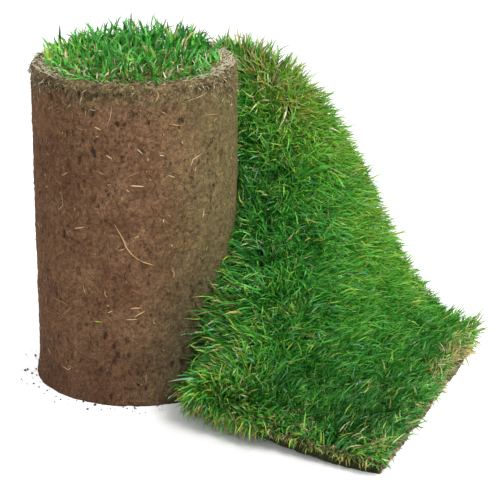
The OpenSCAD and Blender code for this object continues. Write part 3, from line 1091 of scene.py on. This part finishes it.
def blade_tones(dice, at, k, s, roots):
    """Place of each blade on the tone chart."""
    count = len(k)
    sunny = ease(0.20, 0.45, s) * ease(0.90, 0.60, s) * ease(0.25, 0.60, k)
    worn = ease(0.55, 0.20, s) * ease(0.60, 0.30, k)
    painted_shade_end = ease(0.55, 0.72, s) * ease(0.98, 0.88, s) * ease(0.95, 0.75, k)
    gold_and_painted_light = around_place(k, s, 0.955, 0.18, 0.055, 0.07)
    # Painted light and shade: lighter tones on the sunny slope, the top edge, the crest, the gold tuft and
    # the bare bottom edge, darker ones beside the roll, in the lower middle and at the end
    tone_with_painted_light = 0.42 + 0.12 * sunny - 0.10 * ease(0.20, 0.05, s) + 0.12 * ease(0.7, 1.0, k) + 0.10 * at.crest
    tone_with_painted_light -= 0.16 * at.front + 0.13 * painted_shade_end + 0.05 * ease(0.62, 0.35, k) * ease(0.65, 0.35, s)
    tone_with_painted_light += 0.20 * at.low_edge * at.bare_edge + 0.30 * gold_and_painted_light + 0.06 * sunny * ease(0.75, 0.92, k)
    tones = np.clip(dice.normal(tone_with_painted_light, 0.12) + 0.14 * noise_at(roots, 22, 61), 0.105, 0.70)
    chance = dice.uniform(0, 1, count)
    yellow = 0.06 + 0.28 * at.crest + 0.14 * worn + 0.20 * at.hanging + 0.40 * gold_and_painted_light
    tones = np.where(chance < yellow, dice.uniform(0.62, 0.765, count) + 0.035 * gold_and_painted_light, tones)
    fewer_highlights_and_dry = np.maximum(at.front, ease(0.45, 0.65, s))
    # A few blades get the bluish tones, a painted highlight; fewer at the front and the end
    tones = np.where(chance > 0.95 + 0.035 * fewer_highlights_and_dry, dice.uniform(0.0, 0.08, count), tones)
    dead_tuft = ease(0.15, 0.45, noise_at(roots, 40, 83)) * (0.04 + 0.16 * at.crest + 0.14 * worn)
    dead_tuft += 0.20 * gold_and_painted_light + 0.34 * around_place(k, s, 0.985, 0.085, 0.035, 0.035)
    dead_tuft += 0.45 * around_place(k, s, 0.03, 0.93, 0.04, 0.05)
    dead_tuft += 0.24 * around_place(k, s, 0.04, 0.62, 0.04, 0.09)
    bleached_end = 0.60 * ease(0.88, 1.0, s) * ease(0.40, 0.75, k) * ease(1.0, 0.88, k)
    edge = np.maximum(np.maximum(at.low_edge, at.cut_end), at.high_edge)
    scattered = 0.014 - 0.010 * fewer_highlights_and_dry + 0.08 * edge + 0.03 * at.fold
    dry = dice.uniform(0, 1, count) < scattered + dead_tuft + bleached_end
    return np.where(dry, dice.uniform(0.83 + 0.06 * np.maximum(at.cut_end, at.crest), 0.965), tones)


painted_highlight_end, greenest, driest = (green_tones[row][0] for row in (1, 5, 7))
print("chart of tones: blue to", painted_highlight_end, "and green to", greenest, "and straw from", driest)

# %% [markdown]
# Now the blades are made. One mesh for them all would be too heavy for a single piece, so
# the tail has three: the fold, the slope and the end. Roots start a little inside the mat,
# and blades low on the fold are a little broader.

# %% Blades of the tail
def tail_blades(name, seed, count, low_s, high_s):
    """One piece of the tail's grass, between two shares along it."""
    dice = np.random.default_rng(seed)
    k, u, s = tail_roots(dice, count, low_s, high_s)
    strip = strip_frame(k, u)
    roots = grass_face(k, u) - strip[2] * 0.002
    at = named_places(k, s)
    starts, ends = blade_leans(dice, at, k, s, roots, strip)
    lines = kept_clear(grown_lines(roots, starts, ends, blade_lengths(dice, at, k, s)))
    tones = blade_tones(dice, at, k, s, roots)
    widths = dice.uniform(0.0017, 0.0031, count) * (1 + 0.25 * at.low_fold)
    mesh = strands(name, lines, blade_widths(widths), tones, any_way(dice, count))
    piece = add_piece(mesh, "grass", blade_green)
    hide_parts("grass")


tail_blades("grass_fold", 21, 16000, 0.0, 0.33)
tail_blades("grass_slope", 22, 14500, 0.33, 0.66)
tail_blades("grass_end", 23, 14500, 0.66, 1.0)

# %% [markdown]
# Along the raised bottom edge, blades and dead leaves hang over the cut and curl back in
# towards the soil. They are longest where the edge is highest off the floor, a little way
# from the roll, and shorter beside it and towards the end. They could be part of the tail's
# blades, but these hang and do not stand, so they have directions of their own.

# %% Hanging fringe of the bottom edge
dice = np.random.default_rng(29)
count = 1900
fringe_steps = 6
run = dice.uniform(0, 1, count) ** 2.0
bare = ease(0.40, 0.60, run)
k = dice.uniform(0, 0.03, count)
u = mix(clear_start(k), 1, run)
along, across, out = strip_frame(k, u)
roots = grass_face(k, u) - out * column(dice.uniform(0.0, 0.008, count))
starts = out * 0.5 - across + 0.45 * dice.normal(size=(count, 3))
ends = 0.2 * across + 0.55 * dice.normal(size=(count, 3))
ends[:, 2] -= 1.1
lengths = dice.uniform(0.018, 0.040, count) * (1 - 0.60 * bare - 0.55 * ease(0.16, 0.03, run))
lines = kept_clear(grown_lines(roots, unit(starts), unit(ends), lengths, fringe_steps))
withered = dice.uniform(0, 1, count) < 0.45 + 0.10 * bare
alive = np.clip(dice.normal(0.44, 0.15, count), 0.11, 0.76)
tones = np.where(withered, dice.uniform(0.73, 0.92, count), alive)
widths = blade_widths(dice.uniform(0.0012, 0.0024, count), fringe_steps)
fringe = add_piece(strands("grass_fringe", lines, widths, tones, any_way(dice, count)), "grass", blade_green)
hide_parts("grass")

# %% [markdown]
# Thatch is the felt of dead stems between soil and grass. On the roll it makes the pale,
# shaggy top rim and hangs a little way down the wall. A bump map would leave the rim's
# outline smooth, so short curled straws do it, each laid on the relief it springs from.

# %% Thatch on the rim
dice = np.random.default_rng(31)
count = 3000
rim_steps, tube_sides = 4, 3
angle = dice.uniform(0, 2 * np.pi, count)
drop = 0.034 * dice.uniform(0, 1, count) ** 2
on_top = dice.uniform(0, 1, count) < 0.68
z = np.where(on_top, strip_w, strip_w - drop - 0.004)
radius = np.where(on_top, roll_r - dice.uniform(0.004, 0.022, count), wall_radius(z))
outward = np.stack([np.cos(angle), np.sin(angle), np.zeros(count)], -1)
sideways = np.stack([-np.sin(angle), np.cos(angle), np.zeros(count)], -1)
roots = outward * column(radius) + up * column(z)
out = np.where(column(on_top), up, outward)
roots += out * column(soil_relief(roots)[0] - 0.0006)
flow = sideways * column(dice.normal(0, 1, count))
flow += np.where(column(on_top), 0.4 * outward, -0.5 * up)
starts = flow + out * column(dice.uniform(0.1, 0.5, count))
ends = flow + 0.7 * dice.normal(size=(count, 3)) + out * 0.05
lines = grown_lines(roots, unit(starts), unit(ends), dice.uniform(0.003, 0.011, count), rim_steps)
bleached = 0.56 * ease(0.04, 0.11, roots[:, 0]) + 0.52 * ease(-0.05, -0.11, roots[:, 0])
bleached *= np.where(on_top, 1.0, 0.35)
tones = np.clip(dice.normal(0.46, 0.22, count) + bleached + 0.14 * on_top, 0.02, 0.97)
widths = np.repeat(column(dice.uniform(0.0002, 0.0006, count)), rim_steps, axis=1)
add_piece(strands("thatch_rim", lines, widths, tones, any_way(dice, count), tube_sides), "soil", felt)

# %% [markdown]
# The tail's cut edges get the same straws: they spring from the upper part of the cut,
# curl and hang out over it. Near the roll those of the bottom edge are the longest and half
# hide the cut, which is painted dark as shade; from halfway on they are shorter. The cut
# end has the most of them, close together, so that it looks pale.

# %% Thatch along the tail's edges
dice = np.random.default_rng(37)
count = 1700
edge_steps = 6
# Edges by number: the bottom edge, the cut end and the top edge
bottom, cut = 0, 1
which = dice.choice(3, count, p=(0.36, 0.48, 0.16))
run = dice.uniform(0, 1, count)
k = np.choose(which, (0.006 + 0 * run, run, 0.994 + 0 * run))
u = np.choose(which, (mix(clear_start(k), 1, run), 0.992 + 0 * run, mix(clear_start(k), 1, run)))
along, across, out = strip_frame(k, u)
free_way = np.choose(column(which), (-across, along, across))
depth = sod_t * np.where(which == cut, dice.uniform(0.35, 1.0, count), dice.uniform(0.80, 1.05, count))
roots = soil_face(k, u) + out * column(depth)
starts = free_way + out * column(dice.uniform(0.0, 0.9, count)) + 0.5 * dice.normal(size=(count, 3))
ends = free_way * 0.2 + 0.8 * dice.normal(size=(count, 3))
ends[:, 2] -= 0.6
shorter = np.choose(which, (1 - 0.45 * ease(0.40, 0.60, run), 0.55, 0.8))
lengths = dice.uniform(0.008, 0.022, count) * shorter
lines = kept_clear(grown_lines(roots, unit(starts), unit(ends), lengths, edge_steps))
tones = np.clip(dice.normal(0.62, 0.18, count) - 0.14 * (which == bottom), 0.05, 0.97)
widths = np.repeat(column(dice.uniform(0.0003, 0.0008, count)), edge_steps, axis=1)
add_piece(strands("thatch_tail", lines, widths, tones, any_way(dice, count), tube_sides), "soil", felt)

# %% [markdown]
# Fine roots and bits of straw lie in the soil face, pressed in when the turf was cut. They
# could be drawn into the soil's material, but real ones catch the light, so each is a thin
# tube that follows the relief. Most are simply strewn over the whole wall, as angles round
# the roll in degrees and heights.

# %% Roots and straws strewn on the wall
bit_steps = 7
share = np.linspace(0, 1, bit_steps)


def wall_point(turn, z, lift):
    """A point on the roll's wall, on its relief, from the angle in degrees and the height."""
    around = np.radians(turn)
    out = np.stack([np.cos(around), np.sin(around), np.zeros_like(around)], -1)
    plain = out * wall_radius(z)[..., None] + up * z[..., None]
    rise = soil_relief(plain.reshape(-1, 3))[0].reshape(z.shape)
    return plain + out * (rise + lift)[..., None]


def wall_bits(name, turn, z, half_widths, tones, lift, finish=straw):
    """Joined tubes along lines on the wall, each given by its angles and heights."""
    lines = wall_point(turn, np.clip(z, 0.003, strip_w - 0.004), lift)
    outward = unit(lines[:, 0] * np.array([1, 1, 0]))
    return add_piece(strands(name, lines, half_widths, tones, outward, 4), "soil", finish)


def strewn(dice, count, mean_length, longest, bend):
    """Angles and heights along short curved lines strewn over the whole wall."""
    length = np.clip(dice.exponential(mean_length, count) + 0.002, 0.003, longest)
    course = column(dice.uniform(0, 2 * np.pi, count)) + column(dice.normal(0, bend, count)) * share
    hop = column(length / (bit_steps - 1))
    turn = column(dice.uniform(-180, 180, count)) + np.degrees(np.cumsum(np.cos(course) * hop, 1) / roll_r)
    return turn, column(dice.uniform(0.008, strip_w - 0.03, count)) + np.cumsum(np.sin(course) * hop, 1)


dice = np.random.default_rng(41)
count = 320
turn, z = strewn(dice, count, 0.003, 0.011, 1.3)
widths = column(dice.uniform(0.0004, 0.0010, count)) * (1 - 0.45 * share)
wall_bits("straw_on_wall", turn, z, widths, np.clip(dice.normal(0.44, 0.2, count), 0.05, 0.90), 0.0001)
count = 180
turn, z = strewn(dice, count, 0.007, 0.026, 1.1)
widths = column(dice.uniform(0.00014, 0.00030, count)) * (1 - 0.3 * share)
wall_bits("hairs_on_wall", turn, z, widths, np.clip(dice.normal(0.45, 0.25, count), 0.02, 1.0), 0.0001)

# %% [markdown]
# The bits that catch the eye are given one by one: a branched root across the front, a few
# curls, and single straws with their length and tilt. A table of places is easier to read
# and to mend than loose lines of code, so each bit is one row.

# %% Placed roots and straws
# Thickness in millimetres, tone, then the angles and heights in millimetres that it passes through
bent_bits = [
    (2.3, 0.60, [(-99, 231), (-94, 212), (-93, 204), (-89, 191), (-82, 183)]),
    (1.6, 0.66, [(-85, 186), (-82, 183), (-77, 179)]),
    (1.8, 0.60, [(-97, 199), (-95, 200), (-93, 203)]),
    (1.1, 0.85, [(-56, 296), (-54, 305), (-47, 310)]),
    (1.4, 0.90, [(-48, 229), (-47, 235), (-47, 241)]),
    (0.8, 0.80, [(-132, 262), (-131, 246), (-134, 239), (-136, 242)]),
    (1.1, 0.40, [(-119, 277), (-116, 269), (-116, 260)]),
    (1.0, 0.50, [(-121, 185), (-124, 167), (-128, 165)]),
    (1.4, 0.75, [(-136, 36), (-131, 34), (-128, 39)]),
    (0.7, 0.85, [(-99, 376), (-100, 362), (-102, 351)]),
    (0.7, 0.95, [(-58, 377), (-50, 379), (-43, 383)]),
    (2.4, 0.68, [(-75, 394), (-74, 388), (-76, 379)]),
    (1.1, 0.50, [(-142, 122), (-134, 121), (-128, 119)]),
    (1.2, 0.45, [(-126, 119), (-130, 112), (-135, 104)]),
    (1.4, 0.45, [(-55, 126), (-54, 117)]),
    (1.0, 0.98, [(-86, 325), (-83, 318)]),
    (1.2, 0.98, [(-74, 316), (-71, 314)]),
    (1.0, 0.95, [(-104, 119), (-101, 122)]),
    (0.9, 0.95, [(-94, 111), (-87, 112)]),
]
# Thickness in millimetres, tone, angle, height, length in millimetres and tilt in degrees
single_straws = [
    (2.0, 0.80, -86, 279, 18, -4),
    (1.4, 0.45, -88, 294, 15, 24),
    (1.8, 0.70, -101, 314, 9, -32),
    (1.6, 0.72, -67, 288, 10, -24),
    (2.2, 0.68, -120, 222, 16, 16),
    (1.6, 0.62, -129, 286, 11, 32),
    (2.2, 0.66, -88, 126, 14, 6),
    (2.0, 0.72, -86, 119, 15, 30),
    (1.4, 0.50, -40, 354, 26, -8),
    (1.6, 0.60, -64, 350, 13, -14),
    (2.0, 0.72, -107, 348, 9, -20),
    (1.6, 0.42, -106, 294, 9, -26),
    (1.2, 0.45, -140, 346, 8, -20),
    (1.2, 0.70, -71, 366, 8, -30),
]
turns, heights = [], []
for _, _, stops in bent_bits:
    stop_share = np.linspace(0, 1, len(stops))
    turns.append(np.interp(share, stop_share, [stop[0] for stop in stops]))
    heights.append(np.interp(share, stop_share, [stop[1] for stop in stops]) / 1000)
for _, _, turn, z, length, tilt in single_straws:
    reach = length * (share - 0.5) / 1000
    turns.append(turn + np.degrees(reach * math.cos(math.radians(tilt)) / roll_r))
    heights.append(z / 1000 + reach * math.sin(math.radians(tilt)))
placed = bent_bits + single_straws
widths = column([bit[0] for bit in placed]) / 2000 * (1 - 0.75 * np.abs(2 * share - 0.9) ** 2)
tones = np.array([bit[1] for bit in placed]) - 0.06
wall_bits("placed_straws", np.array(turns), np.array(heights), widths, tones, 0.0002)

# %% [markdown]
# Two green clippings stick to the wall, low on the left. They are made like the straws,
# but take the grass's finish, because they are cut blades.

# %% Clippings on the wall
clip_turns = np.array([mix(-112, -107, share), mix(-150, -147, share)])
clip_heights = np.array([mix(0.106, 0.106, share), mix(0.049, 0.044, share)])
clip_widths = np.array([[0.0009], [0.0007]]) * (1 - 0.6 * share)
clip_tones = np.array([0.775, 0.79])
wall_bits("clippings_on_wall", clip_turns, clip_heights, clip_widths, clip_tones, 0.0002, blade_green)

# %% [markdown]
# Crumbs have fallen from the soil and lie on the floor close round the roll's left and
# front. A rigid-body fall would place them too, but they are too small for that to show.
# Each is a small lump: a ball of eight faces, pulled out of shape.

# %% Crumbs on the floor
dice = np.random.default_rng(53)
count = 95
turn = np.radians(dice.uniform(-215, -75, count))
size = np.clip(dice.exponential(0.0006, count) + 0.0005, 0.0005, 0.0022)
away = roll_r + foot_spread + size + np.minimum(dice.exponential(0.009, count), 0.022)
middle = np.stack([away * np.cos(turn), away * np.sin(turn), size * 0.6], -1)
corners = np.array([[1, 0, 0], [0, 1, 0], [-1, 0, 0], [0, -1, 0], [0, 0, 1], [0, 0, -1]], float)
sides = np.array([[0, 1, 4], [1, 2, 4], [2, 3, 4], [3, 0, 4], [1, 0, 5], [2, 1, 5], [3, 2, 5], [0, 3, 5]])
lumps = middle[:, None] + corners * dice.uniform(0.6, 1.2, (count, 6, 1)) * size[:, None, None]
lumps[..., 2] = np.maximum(lumps[..., 2], 0)
faces = (sides + (np.arange(count) * len(corners))[:, None, None]).reshape(-1, 3)
mesh = mesh_from("soil_crumbs", lumps.reshape(-1, 3), faces)
for name, value in (("hollow", 0.5), ("thatch", 0.0), ("pressed", 0.0)):
    mark(mesh, name, np.full(count * len(corners), value))
add_piece(mesh, "soil", loam)

# %% [markdown]
